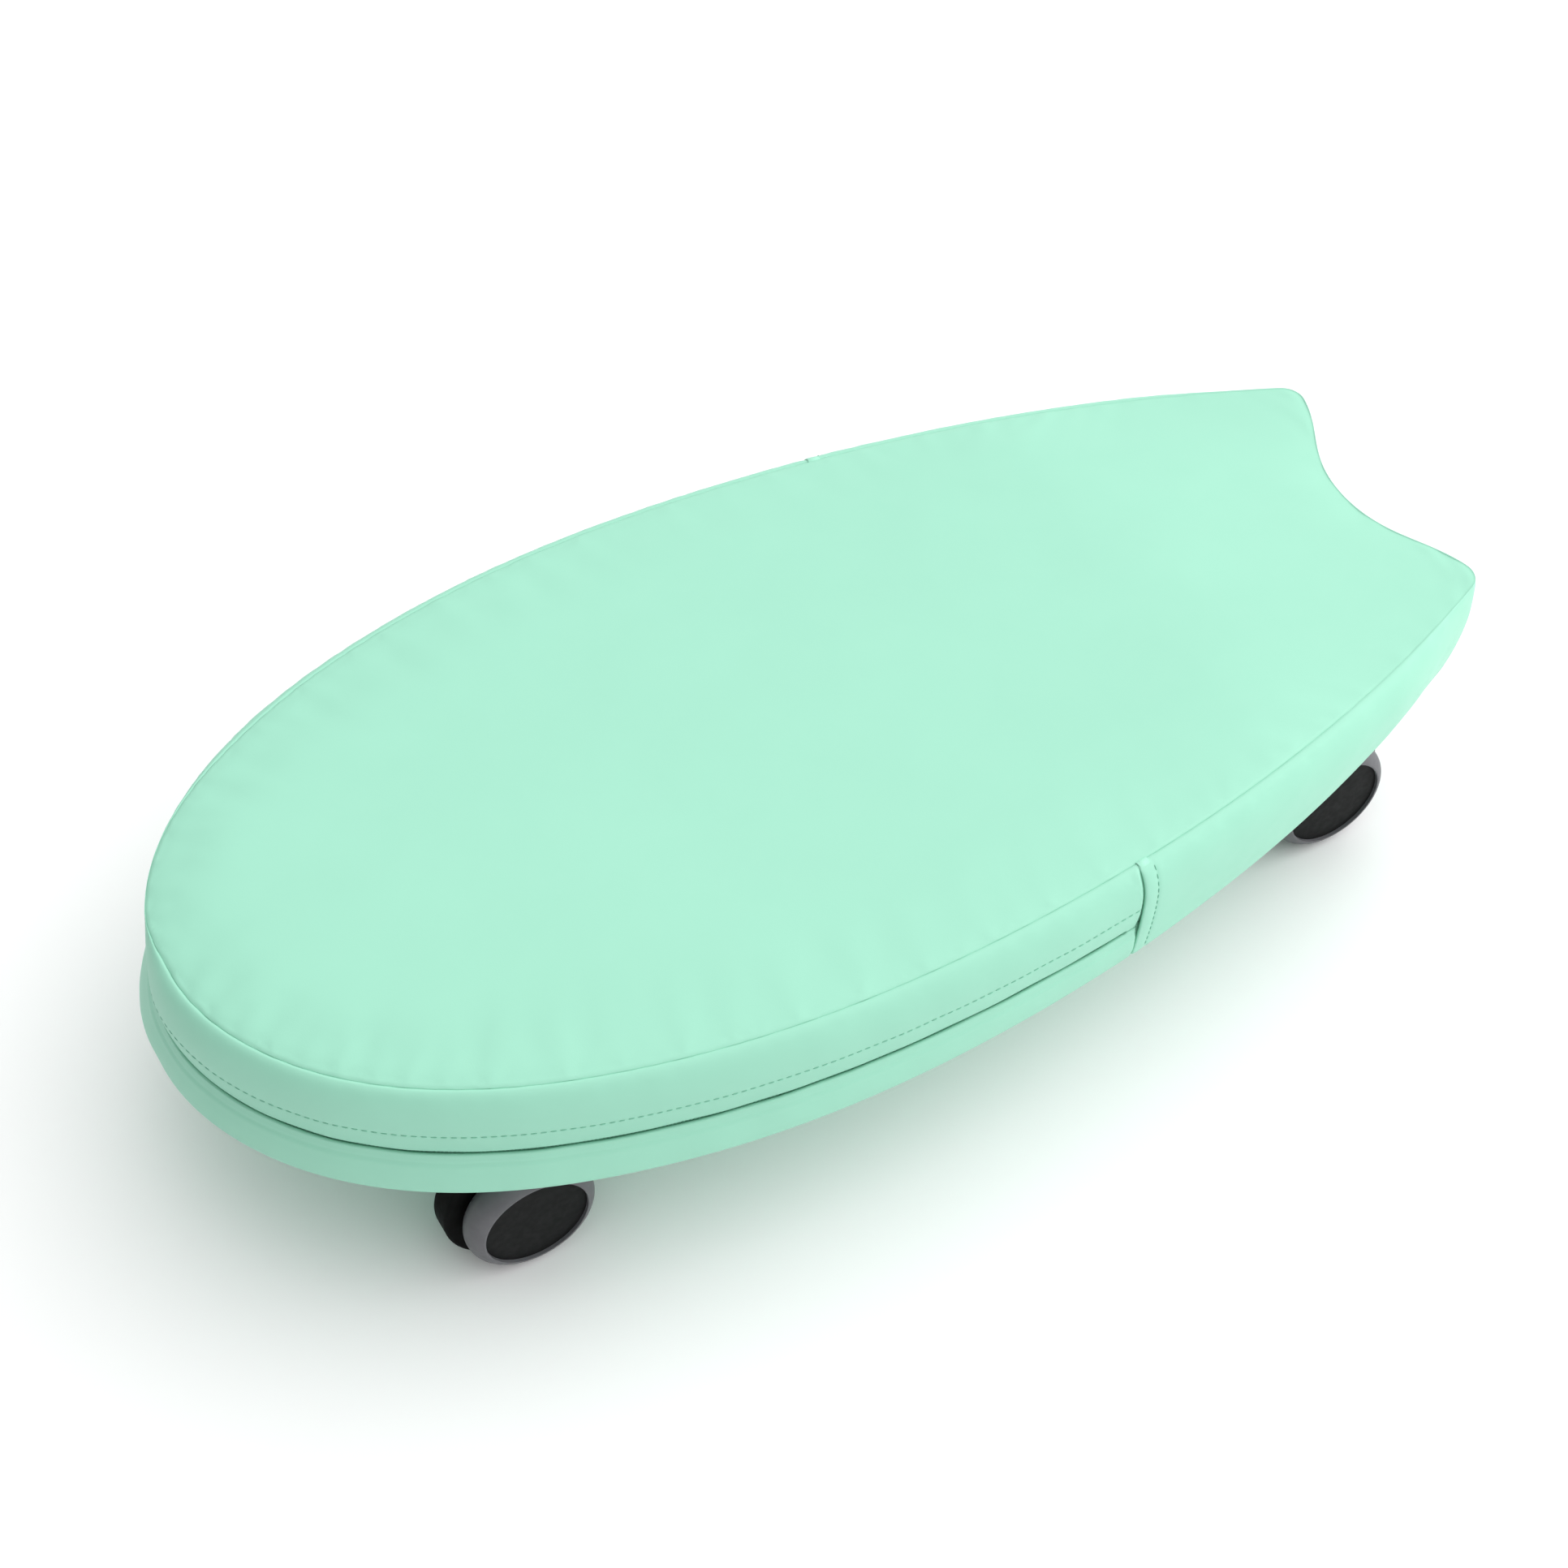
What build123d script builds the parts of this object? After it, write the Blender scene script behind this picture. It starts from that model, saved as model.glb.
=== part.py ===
from build123d import *
import os

# Padded rolling board: a surfboard-shaped cushion on a plywood deck, on four twin-wheel swivel
# casters. Millimetres. The nose points to -X, +Z is up, and the wheels stand on z = 0.

# ---- plan of the board, at the seam round its top panel ----
board_length = 760.0       # nose tip to the corners of the tail
board_width = 370.0        # widest, a little before the middle
tail_half_width = 91.0     # centre line to a tail corner
notch_depth = 30.0         # swallow tail, at the centre line
tail_corner_radius = 13.0
# The side's curve: how far along the length, and what share of the half width it has there.
side_shape = [(0.018, 0.29), (0.076, 0.589), (0.19, 0.841), (0.35, 0.982), (0.545, 0.98), (0.767, 0.831)]
# The notch's curve: share of the tail's half width, and share of the depth there.
notch_shape = [(0.7, 0.26), (0.35, 0.8)]
outline_spans = 20         # spans along the side of an inset outline
notch_spans = 6

# ---- the side below the zip stands proud round the nose, and runs out at the hems ----
nose_flare = 12.0
flare_length = 445.0       # nose tip to where the flare has run out
flare_power = 2.5
# The deck is cut back at the tail, where the cover leans in to its bottom edge.
deck_tuck = 8.0
tuck_length = 240.0        # tuck's run, from the tail corners
tuck_power = 1.5

# ---- heights ----
pad_height = 72.0          # underside to the top seam
deck_thickness = 15.0

# ---- cover ----
cover_thickness = 1.2
cover_ease = 0.4           # cover to deck
hem_from_nose = 471.0      # where the tail band's front hems lie, at the top seam
zip_drop = 45.0            # top seam to the top of the lower strip
zip_opening = 2.6          # gap between the upper and lower strips
zip_tape_width = 16.0
zip_tape_thickness = 1.4
zip_ease = 0.3             # tape to strips and to foam
zip_under_hem = 6.0        # how far the tape runs on behind the hem
slider_length = 12.0
slider_width = 9.0
slider_depth = 4.2
pull_length = 22.0
pull_width = 7.0
pull_thickness = 1.4
slider_ease = 0.5

# ---- casters ----
front_swivel_from_nose = 104.0
rear_swivel_from_nose = 643.0
front_stem_from_side = 21.756  # top seam to the stem, across the board
rear_stem_from_side = 56.658
wheel_radius = 37.5
trail = 25.0                   # stem to axle
hood_beyond_wheel = 6.5
hood_half_width = 8.0
hood_edge_radius = 2.5
hood_start_angle = -28.0       # tail side of the hood, from level, over the top
hood_end_angle = 222.0         # nose side, below level
boss_radius = 10.5
boss_height = 11.5
boss_above_hood = 5.5
wheel_gap = 1.2                # hood to wheel
tyre_width = 18.8
tyre_bore_radius = 30.0
tyre_inner_shoulder_step = 3.5 # bore to the inner shoulder
tyre_lip = 0.9
tread_plane = 8.3              # inner face to the widest circle
core_rim_step = 3.0            # tyre's bore to the bore that the cap's skirt fits
core_inset = 0.4
web_plane = 5.0
web_thickness = 3.0
hub_radius = 8.0
rib_count = 6
rib_thickness = 2.2
cap_recess = 2.0
cap_thickness = 1.4
cap_crown = 0.6
cap_skirt_depth = 5.0
cap_skirt_wall = 1.6
cap_ease = 0.1
axle_radius = 4.0
wheel_running_clearance = 0.05
axle_overhang = 2.6            # axle beyond the hub, for its clip
clip_thickness = 1.0
clip_radius = 6.5
clip_seat = 0.5                # groove depth
clip_play = 0.2
stem_pin_radius = 4.0
stem_pin_length = 37.0         # below the boss's top
stem_clip_play = 0.3
stem_shoulder_radius = 7.0
stem_shoulder_height = 2.3     # bush to hexagon
stem_hex_across = 19.0
stem_hex_height = 4.5
stud_radius = 5.0
bush_wall = 1.0
bush_flange_radius = 8.0
bush_flange = 1.0
bush_length = 32.0
bush_running_clearance = 0.05
bush_top_play = 0.2
stem_pocket_radius = 7.0       # room round the stem's clip, inside the hood
tnut_barrel_radius = 6.5
tnut_flange_radius = 12.0
tnut_flange = 1.6
stud_hole_ease = 0.5
stud_short_of_top = 3.0

core_rim_radius = tyre_bore_radius - core_rim_step
tyre_inner_shoulder = tyre_bore_radius + tyre_inner_shoulder_step
hood_radius = wheel_radius + hood_beyond_wheel
boss_top = wheel_radius + hood_radius + boss_above_hood
boss_base = boss_top - boss_height
stem_pin_base = boss_top - stem_pin_length
bush_base = boss_top - bush_length
bush_top = boss_top + bush_flange
hex_base = bush_top + bush_top_play + stem_shoulder_height
bottom_z = hex_base + stem_hex_height      # underside of the cushion
seam_z = bottom_z + pad_height
deck_z = bottom_z + cover_thickness
deck_top = deck_z + deck_thickness
ledge_z = seam_z - zip_drop
top_panel_z = seam_z - cover_thickness


# ---------------- outlines of the board ----------------

def both_sides(left):
    """Points of the left side, nose to tail, joined to their mirror images through the nose."""
    return [(x, -y) for x, y in reversed(left)] + [(0, 0)] + left


def seam_side():
    """The top seam from the right tail corner, round the nose, to the left tail corner."""
    left = [(x * board_length, -y * board_width / 2) for x, y in side_shape]
    return Spline(*both_sides(left + [(board_length, -tail_half_width)]))


def seam_notch():
    """The concave end, left tail corner to right tail corner."""
    left = [(board_length, -tail_half_width)]
    left += [(board_length - d * notch_depth, -w * tail_half_width) for w, d in notch_shape]
    right = [(x, -y) for x, y in reversed(left)]
    return Spline(*left, (board_length - notch_depth, 0), *right)


side_curve = seam_side()
notch_curve = seam_notch()


def outward(curve, t):
    """Unit normal that points out of the board."""
    run = curve % t
    return Vector(run.Y, -run.X, 0)


def outline(flare, inset, tuck=0):
    """Plan of the cushion: nose proud of the top seam by flare, side inset, tail cut back by tuck."""

    def moved_out(point):
        along = min(max(point.X, 0) / flare_length, 1)
        to_tail = min(max(1 - (board_length - point.X) / tuck_length, 0), 1)
        return flare * (1 - along**flare_power) - inset - tuck * to_tail**tuck_power

    def moved(curve, spans):
        shares = [i / spans for i in range(1, spans)]
        return [curve @ t + outward(curve, t) * moved_out(curve @ t) for t in shares]

    side_out = outward(side_curve, 1)
    notch_out = outward(notch_curve, 0)
    mitre = (side_out + notch_out) / (1 + side_out.dot(notch_out))
    left_corner = side_curve @ 1 + mitre * moved_out(side_curve @ 1)
    right_corner = Vector(left_corner.X, -left_corner.Y, 0)
    side = Spline(right_corner, *moved(side_curve, outline_spans), left_corner)
    notch = Spline(left_corner, *moved(notch_curve, notch_spans), right_corner)
    face = make_face([side, notch]).face()
    corners = [v for v in face.vertices() if v.X > board_length / 2]
    return face.fillet_2d(tail_corner_radius - inset - tuck, corners)


def half_width(from_nose):
    """Centre line to the top seam, at a distance from the nose."""
    near_nose, near_tail = 0.5, 1.0
    for _ in range(40):
        middle = (near_nose + near_tail) / 2
        if (side_curve @ middle).X < from_nose:
            near_nose = middle
        else:
            near_tail = middle
    return -(side_curve @ near_nose).Y


# The object's origin is below the middle of its length, so everything is moved by this.
middle_x = (board_length - nose_flare) / 2


def slab(flare, inset, low, high, tuck=0):
    """A flat slice of the cushion between two heights, inset from its side."""
    return extrude(Pos(-middle_x, 0, low) * outline(flare, inset, tuck), high - low)


def ring(outer, inner, low, high):
    """A band between two outlines, each given as (flare, inset)."""
    face = Face(outline(*outer).outer_wire(), [outline(*inner).outer_wire()])
    return extrude(Pos(-middle_x, 0, low) * face, high - low)


def block(x0, x1, z0, z1):
    """A box right across the board, for cutting it into panels."""
    width = 2 * board_width
    return Pos((x0 + x1) / 2, 0, (z0 + z1) / 2) * Box(x1 - x0, width, z1 - z0)


nose_end = -board_length
tail_end = board_length
hem_x = hem_from_nose - middle_x
nodes = {}


# ---------------- deck, foam and cover ----------------

def swivel_places():
    """Name, x and y of each stem."""
    front_x = front_swivel_from_nose - middle_x
    rear_x = rear_swivel_from_nose - middle_x
    front_y = half_width(front_swivel_from_nose) - front_stem_from_side
    rear_y = half_width(rear_swivel_from_nose) - rear_stem_from_side
    return [
        ("front_left", front_x, -front_y),
        ("front_right", front_x, front_y),
        ("rear_left", rear_x, -rear_y),
        ("rear_right", rear_x, rear_y),
    ]


def tube(outer, inner, z0, z1):
    """A ring about Z, or a disc where inner is 0."""
    ring = Pos(0, 0, (z0 + z1) / 2) * Cylinder(outer, z1 - z0)
    if inner:
        ring -= Pos(0, 0, (z0 + z1) / 2) * Cylinder(inner, 2 * (z1 - z0))
    return ring


def at_stems(shape):
    """Copies of a shape at the four stems."""
    return [Pos(x, y, 0) * shape for _, x, y in swivel_places()]


def make_deck():
    deck = slab(nose_flare, cover_thickness + cover_ease, deck_z, deck_top, deck_tuck)
    barrel = tube(tnut_barrel_radius, 0, deck_z - 1, deck_top + 1)
    flange = tube(tnut_flange_radius, 0, deck_top - tnut_flange, deck_top + 1)
    for cut in at_stems(barrel) + at_stems(flange):
        deck -= cut
    return deck


def slider_pose():
    """Middle of the space for the zip's slider and pull, behind the left hem, in line with the side."""
    reach = hem_from_nose + zip_under_hem + slider_ease + (slider_length + pull_length) / 2
    share = (1 + reach / board_length) / 2
    for _ in range(20):
        share += (reach - (side_curve @ share).X) / (2 * board_length)
    depth = cover_thickness + zip_ease + slider_ease + slider_depth / 2
    place = side_curve @ share - outward(side_curve, share) * depth
    origin = Vector(place.X - middle_x, place.Y, ledge_z + slider_width / 2)
    return Location(Plane(origin=origin, x_dir=side_curve % share, z_dir=(0, 0, 1)))


def slider_space():
    """Hollow in the foam for the slider and its pull, with room round them."""
    length = slider_length + pull_length + 4 * slider_ease
    depth = slider_depth + 4 * slider_ease
    return slider_pose() * Pos(0, slider_ease, 0) * Box(length, depth, slider_width + 4 * slider_ease)


def make_foam():
    inset = cover_thickness + zip_tape_thickness + 2 * zip_ease
    return slab(0, inset, deck_top, top_panel_z) - slider_space()


def make_zip_tape():
    """The closed zip: it stands on the lower strip's ledge, behind the upper strip."""
    inset = cover_thickness + zip_ease
    tape = ring((0, inset), (0, inset + zip_tape_thickness), ledge_z, ledge_z + zip_tape_width)
    return tape & block(nose_end, hem_x + zip_under_hem, ledge_z, ledge_z + zip_tape_width)


def make_slider():
    body = Box(slider_length, slider_depth, slider_width)
    body = fillet(body.edges().filter_by(Axis.Z), 1.2)
    body = fillet(body.edges().filter_by(Axis.Y), 1.2)
    return slider_pose() * Pos(-pull_length / 2, 0, 0) * body


def make_pull():
    outline_2d = RectangleRounded(pull_length - slider_ease, pull_width, 2.0)
    eye = Pos(pull_length / 2 - 4.5, 0) * RectangleRounded(4.0, 3.0, 1.0)
    tab = extrude(Plane.XZ * (outline_2d - eye), pull_thickness)
    return slider_pose() * Pos((slider_length + slider_ease) / 2, pull_thickness / 2, 0) * tab


def make_cover():
    """Top and bottom panels, upper and lower strips round the nose, and the tail band."""
    lap_z = ledge_z + zip_opening
    nose = block(nose_end, hem_x, bottom_z, seam_z)
    tail = block(hem_x, tail_end, bottom_z, seam_z)
    bottom = slab(nose_flare, 0, bottom_z, deck_z)
    for hole in at_stems(tube(stud_radius + stud_hole_ease, 0, bottom_z - 1, deck_z + 1)):
        bottom -= hole
    behind_tape = cover_thickness + 2 * zip_ease + zip_tape_thickness
    fold_z = ledge_z - cover_thickness
    side = ring((nose_flare, 0), (nose_flare, cover_thickness), deck_z, fold_z)
    ledge = ring((nose_flare, 0), (0, behind_tape), fold_z, ledge_z)
    skin = (0, 0), (0, cover_thickness)
    nodes["cover_top_panel"] = slab(0, 0, top_panel_z, seam_z)
    nodes["cover_upper_strip"] = ring(*skin, lap_z, top_panel_z) & nose
    nodes["cover_lower_strip"] = (side & nose) + (ledge & nose)
    nodes["cover_tail_band"] = ring(*skin, deck_z, top_panel_z) & tail
    nodes["cover_bottom_panel"] = bottom


def make_tnut():
    barrel = tube(tnut_barrel_radius, stud_radius, deck_z, deck_top - tnut_flange)
    return barrel + tube(tnut_flange_radius, stud_radius, deck_top - tnut_flange, deck_top)


# ---------------- one caster, with its stem on the Z axis and its axle along Y ----------------

AXLE = Plane(origin=(trail, 0, wheel_radius), x_dir=(1, 0, 0), z_dir=(0, 1, 0))
groove_z = bush_base - stem_clip_play - clip_thickness
tyre_face = hood_half_width + wheel_gap
tyre_edge = tyre_face + tyre_width
core_face = tyre_face + core_inset
cap_face = tyre_edge - cap_recess
core_edge = cap_face - cap_thickness
hub_edge = cap_face - cap_thickness - axle_overhang - clip_play
axle_end = hub_edge + axle_overhang


def make_stem():
    stem = tube(stud_radius, 0, bottom_z, deck_top - stud_short_of_top)
    hexagon = RegularPolygon(stem_hex_across / 2, 6, major_radius=False)
    stem += Pos(0, 0, hex_base) * extrude(hexagon, stem_hex_height)
    stem += tube(stem_shoulder_radius, 0, bush_top + bush_top_play, hex_base)
    stem += tube(stem_pin_radius, 0, stem_pin_base, hex_base)
    stem = chamfer(stem.faces().sort_by(Axis.Z)[0].edges(), 0.6)
    return stem - tube(2 * stem_pin_radius, stem_pin_radius - clip_seat, groove_z, groove_z + clip_thickness)


def make_bush():
    bore = stem_pin_radius + bush_running_clearance
    sleeve = tube(stem_pin_radius + bush_wall, bore, bush_base, boss_top)
    return sleeve + tube(bush_flange_radius, bore, boss_top, bush_top)


def clip(z0):
    """A snap ring about Z, open at one side, that grips its groove."""
    ring = tube(clip_radius, stem_pin_radius - clip_seat, z0, z0 + clip_thickness)
    slot = Pos(-clip_radius, 0, z0) * Box(2 * clip_radius, 3.0, 4 * clip_thickness)
    return ring - slot


def hood_profile(radius):
    """Side view of the hood, about the axle: a disc with its lower tail side cut away."""
    disc = Circle(radius)
    reach = 2 * hood_radius
    start = Vector(reach, 0).rotate(Axis.Z, hood_start_angle)
    end = Vector(reach, 0).rotate(Axis.Z, hood_end_angle)
    tail_side = (start.X, start.Y - hub_radius)
    nose_side = (end.X, end.Y - hub_radius)
    below = Polyline((0, -hub_radius), tail_side, (0, -2 * reach), nose_side, close=True)
    return disc - make_face(below)


def make_hood():
    side_view = Plane(origin=(trail, 0, wheel_radius), x_dir=(1, 0, 0), z_dir=(0, -1, 0))
    hood = extrude(side_view * hood_profile(hood_radius), hood_half_width, both=True)
    hood = fillet(hood.edges().filter_by(GeomType.CIRCLE), hood_edge_radius)
    hood += tube(boss_radius, 0, boss_base, boss_top)
    hood -= tube(stem_pin_radius + bush_wall, 0, bush_base, 2 * boss_top)
    hood -= tube(stem_pocket_radius, 0, 0, bush_base)
    return hood - extrude(side_view * Circle(axle_radius), 2 * hood_half_width, both=True)


def turned(profile):
    """A wheel part from its section, drawn as (distance out along the axle, radius)."""
    section = Plane(origin=(trail, 0, wheel_radius), x_dir=(0, 1, 0), z_dir=(1, 0, 0)) * profile
    return revolve(section, Axis((trail, 0, wheel_radius), (0, 1, 0)))


def ring_section(y0, y1, r0, r1):
    return Pos((y0 + y1) / 2, (r0 + r1) / 2) * Rectangle(y1 - y0, r1 - r0)


def make_tyre():
    crown = tyre_face + tread_plane
    lip = tyre_bore_radius + tyre_lip
    edge = [
        Polyline((tyre_edge, lip), (tyre_edge, tyre_bore_radius),
                 (tyre_face, tyre_bore_radius), (tyre_face, tyre_inner_shoulder)),
        TangentArc((crown, wheel_radius), (tyre_face, tyre_inner_shoulder), tangent=(-1, 0)),
        TangentArc((crown, wheel_radius), (tyre_edge, lip), tangent=(1, 0)),
    ]
    return turned(make_face(edge))


def make_core():
    bore = axle_radius + wheel_running_clearance
    section = ring_section(core_face, core_edge, core_rim_radius, tyre_bore_radius)
    web = core_face + web_plane
    section += ring_section(web, web + web_thickness, bore, core_rim_radius)
    section += ring_section(core_face, hub_edge, bore, hub_radius)
    core = turned(section)
    height = web - core_face
    rib = Pos((hub_radius + core_rim_radius) / 2, 0, core_face + height / 2)
    rib *= Box(core_rim_radius - hub_radius + 1.0, rib_thickness, height)
    for i in range(rib_count):
        core += AXLE.location * Rot(0, 0, i * 360 / rib_count) * rib
    return core


def make_cap():
    inner = cap_face - cap_thickness
    radius = tyre_bore_radius - cap_ease
    skirt = core_rim_radius - cap_ease
    edge = [
        Polyline((cap_face, radius), (inner, radius), (inner, skirt), (inner - cap_skirt_depth, skirt),
                 (inner - cap_skirt_depth, skirt - cap_skirt_wall), (inner, skirt - cap_skirt_wall), (inner, 0),
                 (cap_face + cap_crown, 0)),
        ThreePointArc((cap_face + cap_crown, 0), (cap_face + cap_crown * 0.75, radius / 2), (cap_face, radius)),
    ]
    return turned(make_face(edge))


def make_axle():
    side_view = Plane(origin=(trail, 0, wheel_radius), x_dir=(1, 0, 0), z_dir=(0, -1, 0))
    axle = extrude(side_view * Circle(axle_radius), axle_end, both=True)
    axle = chamfer(axle.edges().filter_by(GeomType.CIRCLE), 0.4)
    return axle


def make_axle_clips():
    """Push-on caps on both ends of the axle."""
    clip_face = hub_edge + clip_play
    washer = turned(ring_section(clip_face, clip_face + clip_thickness, axle_radius, clip_radius))
    return Compound([washer, mirror(washer, Plane.XZ)])


def add_caster(name, x, y):
    place = Pos(x, y, 0)
    nodes[f"stem_{name}"] = place * make_stem()
    nodes[f"swivel_bush_{name}"] = place * make_bush()
    nodes[f"hood_{name}"] = place * make_hood()
    nodes[f"axle_{name}"] = place * make_axle()
    nodes[f"axle_clips_{name}"] = place * make_axle_clips()
    for part, shape in (("core", make_core()), ("tyre", make_tyre()), ("cap", make_cap())):
        outer_side = shape if y > 0 else mirror(shape, Plane.XZ)
        inner_side = mirror(outer_side, Plane.XZ)
        nodes[f"wheel_{part}_{name}_outer"] = place * outer_side
        nodes[f"wheel_{part}_{name}_inner"] = place * inner_side


nodes["deck"] = make_deck()
nodes["foam_pad"] = make_foam()
nodes["zip_tape"] = make_zip_tape()
nodes["zip_slider"] = make_slider()
nodes["zip_pull"] = make_pull()
make_cover()
nodes["t_nuts"] = Compound(at_stems(make_tnut()))
nodes["stem_clips"] = Compound(at_stems(clip(groove_z)))
for caster_name, caster_x, caster_y in swivel_places():
    add_caster(caster_name, caster_x, caster_y)

os.makedirs("parts", exist_ok=True)
for node_name, shape in nodes.items():
    export_step(shape, f"parts/{node_name}.step")
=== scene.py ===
"""Looks of the padded rolling board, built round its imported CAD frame.

The nose points to -X, +Z is up and the wheels stand on z = 0. Sizes of the soft cover are in
millimetres until a mesh is made; Blender's own values are in metres.
"""

import math

import bpy
import numpy as np
from mathutils import Matrix, Vector, geometry


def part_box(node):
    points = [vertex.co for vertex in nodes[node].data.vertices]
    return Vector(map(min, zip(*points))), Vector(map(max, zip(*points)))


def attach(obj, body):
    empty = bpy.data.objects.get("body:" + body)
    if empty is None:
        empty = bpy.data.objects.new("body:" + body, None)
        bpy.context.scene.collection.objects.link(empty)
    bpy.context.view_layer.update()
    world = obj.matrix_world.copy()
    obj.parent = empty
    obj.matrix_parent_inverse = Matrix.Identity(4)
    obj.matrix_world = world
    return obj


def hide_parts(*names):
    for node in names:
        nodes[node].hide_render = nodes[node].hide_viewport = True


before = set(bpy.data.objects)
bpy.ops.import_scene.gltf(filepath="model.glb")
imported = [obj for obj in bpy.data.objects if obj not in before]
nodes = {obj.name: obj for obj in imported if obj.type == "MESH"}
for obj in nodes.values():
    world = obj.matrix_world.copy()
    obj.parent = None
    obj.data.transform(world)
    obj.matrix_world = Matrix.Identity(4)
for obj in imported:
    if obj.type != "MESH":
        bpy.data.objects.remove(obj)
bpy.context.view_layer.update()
MM = 0.001

# ---- heights and places read from the CAD ----
seam_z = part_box("cover_top_panel")[1].z / MM
bottom_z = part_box("cover_bottom_panel")[0].z / MM
deck_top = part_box("deck")[1].z / MM
pad_height = seam_z - bottom_z
nose_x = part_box("cover_top_panel")[0].x / MM
board_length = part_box("cover_top_panel")[1].x / MM - nose_x
hem_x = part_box("cover_tail_band")[0].x / MM

# ---- soft shape of the cover ----
side_bulge = 10.45          # how far the side stands out below the top seam
bulge_drop = 22.0           # top seam to the widest part
lower_taper = 0.0066        # how fast the upper strip pulls in below that
tip_bulge = 0.1             # share of the bulge left at a tail corner
notch_bulge = 0.12          # and in the middle of the notch
foot_nose = 14.8            # bottom edge outside the top seam, at the nose
foot_change = 22.6          # and how much less at the tail
foot_power = 1.9
nose_shift = 5.5            # how far out the top seam is pulled on the far side of the nose
foot_nose_shift = 3.8       # and the bottom edge there
shifted_flatness = 0.93     # share of the bulge lost where the seam is pulled out most
bulge_fade = 110            # the bulge dies away over this run before a tail corner
notch_fade = 60             # and comes back over this run past it
corner_room = 1.3           # bottom edge let out at a tail corner, over the deck
corner_room_reach = 22
foot_roll = 3.6             # rounding of the bottom edge
crown_roll = 4.6            # rise of the top panel just inside its seam
crown_reach = 4.5           # how quickly it rises
crown_rise = 2.6            # further rise to the middle
tail_flatness = 0.85        # share of the first rise missing round the tail
gap_top = 43.0              # zip gap's upper and lower lips, below the seam
gap_bottom = 45.8
gap_middle = (gap_top + gap_bottom) / 2
gap_end = 9.0               # closed part of the zip gap, in front of a hem
gap_close = 0.95            # how far each lip moves to close it
lap_drop = 27.0             # row of lap stitches on the upper strip
ridge_drop = 50.5           # sewn-down edge on the lower strip
lower_step = 0.9            # lower strip's lip outside the upper strip's
lower_swell = 1.9           # swell of the lower strip between its edges
hem_lift = 0.6              # how far the tail band stands over the strips at its hems
hem_dive = 1.9              # how deep the strips run on under the band
hem_stitch = 8.7            # behind the hem's folded edge
stitch_pitch = 4.8
stitch_half_length = 1.6
stitch_radius = 0.38
stitch_rise = 0.12          # stitches' centre line above the cloth
panel_thickness = 0.9
strip_thickness = 0.7
bottom_thickness = 0.8
tape_thickness = 0.6
tape_half_width = 8
tape_drop = 44              # where the side's reach is taken for the zip
tape_depth = 2.3            # tape's face inside that reach
coil_depth = 1.75
coil_pitch = 2.0
coil_half_height = 1.5
coil_half_depth = 0.5
coil_wire_radius = 0.34
stem_hole_radius = 5.6
stem_flat_reach = 22     # the bottom panel lies flat round a stem
foam_ease = 2.4             # foam inside the side's reach
foam_top_ease = 2.2         # and below the top panel
lap_dent = 0.3
# Size, length and seed of each ripple.
panel_ripple = (0.16, 26, 3)
upper_ripple = (0.13, 34, 5)
upper_seam_ripple = (0.12, 11, 6)
lower_ripple = (0.14, 38, 8)
band_ripple = (0.12, 45, 12)
band_seam_ripple = (0.1, 12, 13)
bottom_ripple = (0.12, 60, 21)
# Drop and reach of the rows tucked in behind the top seam.
seam_tuck = [(1.6, -2.2), (0.7, -0.6)]

# ---- light and camera ----
bright_side = (0.75, -0.1, 0.65)
sky_peak = 2.25             # surround's strength on its bright side
view_angles = (-29.55, 48.83, -0.58)    # azimuth, elevation and roll, in degrees
view_lens = 74.55
view_shift = (0.0017, 0.0006)
view_distance = 1.7387      # metres
view_aim = (0.3346, -0.0374)            # metres from the nose and from the centre line


# ---------------- plan of the seam ----------------

def closed_spline(points, count):
    """count even places along the smooth closed curve through the points."""
    ahead = np.roll(points, -1, 0)
    span = np.linalg.norm(ahead - points, axis=1)
    behind = np.roll(span, 1)
    here = np.arange(len(points))
    system = np.zeros((len(points), len(points)))
    system[here, here] = 2 * (span + behind)
    system[here, (here + 1) % len(points)] = span
    system[here, here - 1] = behind
    slope = (ahead - points) / span[:, None]
    bend = np.linalg.solve(system, 6 * (slope - np.roll(slope, 1, 0)))
    steps = 16
    t = np.linspace(0, 1, steps, endpoint=False)[None, :, None]
    p, q, m, n = (a[:, None, :] for a in (points, ahead, bend, np.roll(bend, -1, 0)))
    sag = ((1 - t) ** 3 - (1 - t)) * m + (t**3 - t) * n
    curve = (p * (1 - t) + q * t + span[:, None, None] ** 2 / 6 * sag).reshape(-1, 2)
    curve = np.vstack([curve, curve[:1]])
    run = np.concatenate([[0], np.cumsum(np.linalg.norm(np.diff(curve, axis=0), axis=1))])
    even = np.linspace(0, run[-1], count, endpoint=False)
    return np.stack([np.interp(even, run, curve[:, k]) for k in (0, 1)], -1), run[-1]


rim_count = 2400


def seam_plan():
    """The CAD top panel's edge, from the nose along the near side, round the tail and back."""
    corners = {(round(v.co.x / MM, 2), round(v.co.y / MM, 2))
               for v in nodes["cover_top_panel"].data.vertices if v.co.z / MM > seam_z - 0.01}
    ordered = sorted(corners, key=lambda p: math.atan2(p[1], p[0]))
    least = 1.2
    spaced = [ordered[0]]
    for p in ordered[1:]:
        if math.dist(p, spaced[-1]) > least:
            spaced.append(p)
    if math.dist(spaced[0], spaced[-1]) < least:
        spaced.pop()
    loop, length = closed_spline(np.array(spaced), rim_count)
    return np.roll(loop, -int(np.argmin(loop[:, 0])), 0), length


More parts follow.
